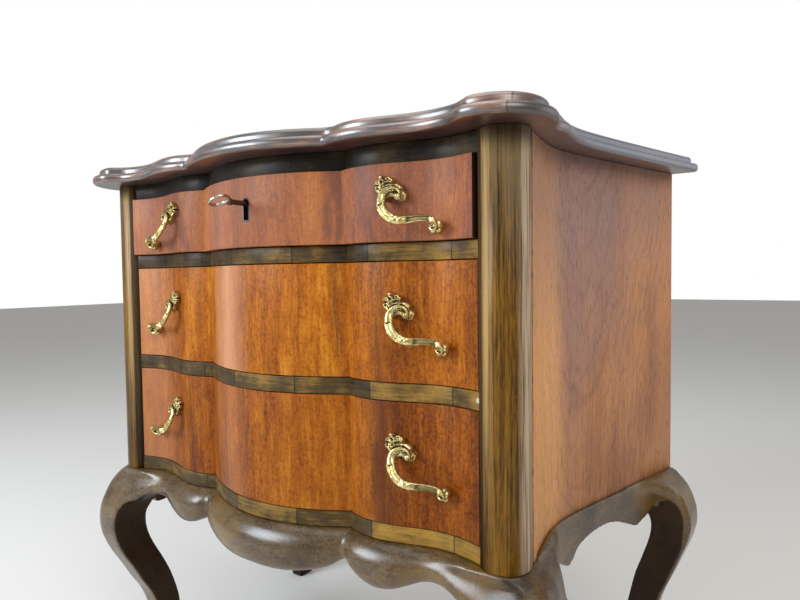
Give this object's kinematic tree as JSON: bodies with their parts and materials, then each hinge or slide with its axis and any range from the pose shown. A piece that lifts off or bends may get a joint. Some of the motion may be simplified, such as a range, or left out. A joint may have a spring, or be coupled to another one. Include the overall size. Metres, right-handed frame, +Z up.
{
  "type": "chest of drawers",
  "caption": "Serpentine commode chest with three drawers, rounded corner columns, shaped aprons, cabriole legs, leaf-shaped brass pulls and a key in its lock.",
  "frame": {"origin": "middle of the overall box, on the floor", "axes": "+X to the right of someone who faces the drawers, -Y towards that person, +Z up"},
  "size_m": [0.8346, 0.4998, 0.7813],
  "materials": {
    "veneer": "warm red-brown veneer with upright grain, satin polish",
    "side_veneer": "mid-brown veneer with upright cathedral grain, satin polish",
    "dark_stain": "dark olive-brown stain with lighter streaks, glossy",
    "top_stain": "near-black brown stain, glossy moulded edge",
    "plain_wood": "plain pale inner wood, unpolished",
    "old_brass": "cast antique brass with dark patina in the hollows",
    "lock_steel": "plain darkened steel",
    "key_metal": "worn nickel plate on the bow, brownish shank"
  },
  "bodies": {
    "carcass": {"back_apron": "dark_stain", "back_bottom_rail": "plain_wood", "back_leg_left": "dark_stain", "back_leg_right": "dark_stain", "back_lower_rail": "plain_wood", "back_panel": "plain_wood", "back_top_rail": "plain_wood", "back_upper_rail": "plain_wood", "bottom_rail": "dark_stain", "bottom_runner_left": "plain_wood", "bottom_runner_right": "plain_wood", "front_apron": "dark_stain", "front_column_left": "dark_stain", "front_column_right": "dark_stain", "front_leg_left": "dark_stain", "front_leg_right": "dark_stain", "kicker_left": "plain_wood", "kicker_right": "plain_wood", "lower_divider": "dark_stain", "middle_runner_left": "plain_wood", "middle_runner_right": "plain_wood", "rear_post_left": "plain_wood", "rear_post_right": "plain_wood", "side_apron_left": "dark_stain", "side_apron_right": "dark_stain", "side_panel_left": "side_veneer", "side_panel_right": "side_veneer", "top": "top_stain", "top_rail": "dark_stain", "top_runner_left": "plain_wood", "top_runner_right": "plain_wood", "upper_divider": "dark_stain"},
    "top_drawer": {"keyhole_liner": "lock_steel", "lock_case": "lock_steel", "top_drawer_back": "plain_wood", "top_drawer_bottom": "plain_wood", "top_drawer_front": "veneer", "top_drawer_pull_left": "old_brass", "top_drawer_pull_right": "old_brass", "top_drawer_side_left": "plain_wood", "top_drawer_side_right": "plain_wood"},
    "middle_drawer": {"middle_drawer_back": "plain_wood", "middle_drawer_bottom": "plain_wood", "middle_drawer_front": "veneer", "middle_drawer_pull_left": "old_brass", "middle_drawer_pull_right": "old_brass", "middle_drawer_side_left": "plain_wood", "middle_drawer_side_right": "plain_wood"},
    "bottom_drawer": {"bottom_drawer_back": "plain_wood", "bottom_drawer_bottom": "plain_wood", "bottom_drawer_front": "veneer", "bottom_drawer_pull_left": "old_brass", "bottom_drawer_pull_right": "old_brass", "bottom_drawer_side_left": "plain_wood", "bottom_drawer_side_right": "plain_wood"},
    "key": {"key": "key_metal"},
    "lock_bolt": {"lock_bolt": "lock_steel"}
  },
  "joints": [
    {"name": "top_drawer_slide", "type": "slide", "parent": "carcass", "child": "top_drawer", "axis": [0, -1, 0], "range_m": [-0.008, 0.252]},
    {"name": "middle_drawer_slide", "type": "slide", "parent": "carcass", "child": "middle_drawer", "axis": [0, -1, 0], "range_m": [0, 0.26]},
    {"name": "bottom_drawer_slide", "type": "slide", "parent": "carcass", "child": "bottom_drawer", "axis": [0, -1, 0], "range_m": [0, 0.26]},
    {"name": "key_turn", "type": "hinge", "parent": "top_drawer", "child": "key", "pos_m": [0.0045, -0.19213, 0.706], "axis": [0, -1, 0], "range_deg": [-90, 90]},
    {"name": "lock_bolt_slide", "type": "slide", "parent": "top_drawer", "child": "lock_bolt", "axis": [0, 0, 1], "range_m": [-0.005, 0.005]}
  ],
  "couplings": [
    {"joint": "key_turn", "follows": "lock_bolt_slide", "rad_per_m": 314}
  ]
}
